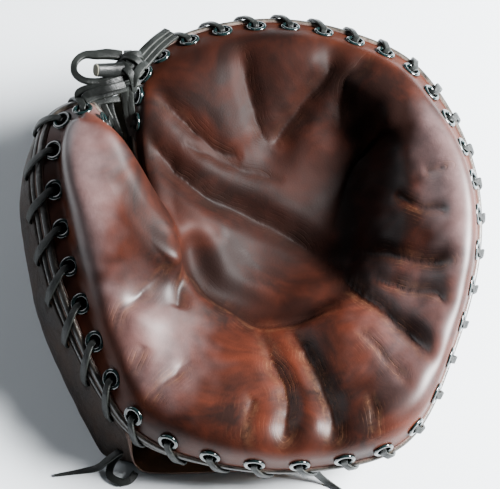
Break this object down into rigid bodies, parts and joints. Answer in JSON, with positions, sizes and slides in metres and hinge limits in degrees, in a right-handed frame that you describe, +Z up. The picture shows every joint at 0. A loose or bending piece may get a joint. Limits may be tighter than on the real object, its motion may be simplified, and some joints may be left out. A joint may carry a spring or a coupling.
{
  "type": "first baseman mitt",
  "caption": "Vintage brown leather first baseman mitt lying palm up: padded thumb and palm with a deep pocket, laced edge, suede web and knotted tie.",
  "frame": {"origin": "middle of the bounding box's footprint, on the surface that the mitt lies on", "axes": "+Z up out of the pocket, +Y from the heel to the top of the web, +X away from the thumb"},
  "size_m": [0.2782, 0.2916, 0.105],
  "materials": {
    "palm_leather": "worn, oiled, semi gloss with grey sheen on the thumb",
    "back_leather": "worn, wrinkled, satin",
    "welt_leather": "dark strips with pale raw edges",
    "lace_leather": "black rawhide lace, worn, satin",
    "web_suede": "grey green suede, matte",
    "eyelet_enamel": "dark enamel, glossy, chipped"
  },
  "bodies": {
    "root": {"palm": "palm_leather", "back": "back_leather", "edge_welt": "welt_leather", "web": "web_suede", "lace": "lace_leather", "thumb_tie": "lace_leather", "body_tie": "lace_leather", "tie_knot": "lace_leather", "tie_loop": "lace_leather", "heel_tie": "lace_leather", "heel_tail": "lace_leather", "eyelet_01": "eyelet_enamel", "eyelet_02": "eyelet_enamel", "eyelet_03": "eyelet_enamel", "eyelet_04": "eyelet_enamel", "eyelet_05": "eyelet_enamel", "eyelet_06": "eyelet_enamel", "eyelet_07": "eyelet_enamel", "eyelet_08": "eyelet_enamel", "eyelet_09": "eyelet_enamel", "eyelet_10": "eyelet_enamel", "eyelet_11": "eyelet_enamel", "eyelet_12": "eyelet_enamel", "eyelet_13": "eyelet_enamel", "eyelet_14": "eyelet_enamel", "eyelet_15": "eyelet_enamel", "eyelet_16": "eyelet_enamel", "eyelet_17": "eyelet_enamel", "eyelet_18": "eyelet_enamel", "eyelet_19": "eyelet_enamel", "eyelet_20": "eyelet_enamel", "eyelet_21": "eyelet_enamel", "eyelet_22": "eyelet_enamel", "eyelet_23": "eyelet_enamel", "eyelet_24": "eyelet_enamel", "eyelet_25": "eyelet_enamel", "eyelet_26": "eyelet_enamel", "eyelet_27": "eyelet_enamel", "eyelet_28": "eyelet_enamel", "eyelet_29": "eyelet_enamel", "eyelet_30": "eyelet_enamel", "eyelet_31": "eyelet_enamel", "eyelet_32": "eyelet_enamel", "eyelet_33": "eyelet_enamel", "eyelet_34": "eyelet_enamel", "eyelet_35": "eyelet_enamel", "eyelet_36": "eyelet_enamel", "eyelet_37": "eyelet_enamel", "eyelet_38": "eyelet_enamel", "eyelet_39": "eyelet_enamel", "eyelet_40": "eyelet_enamel"}
  },
  "joints": []
}
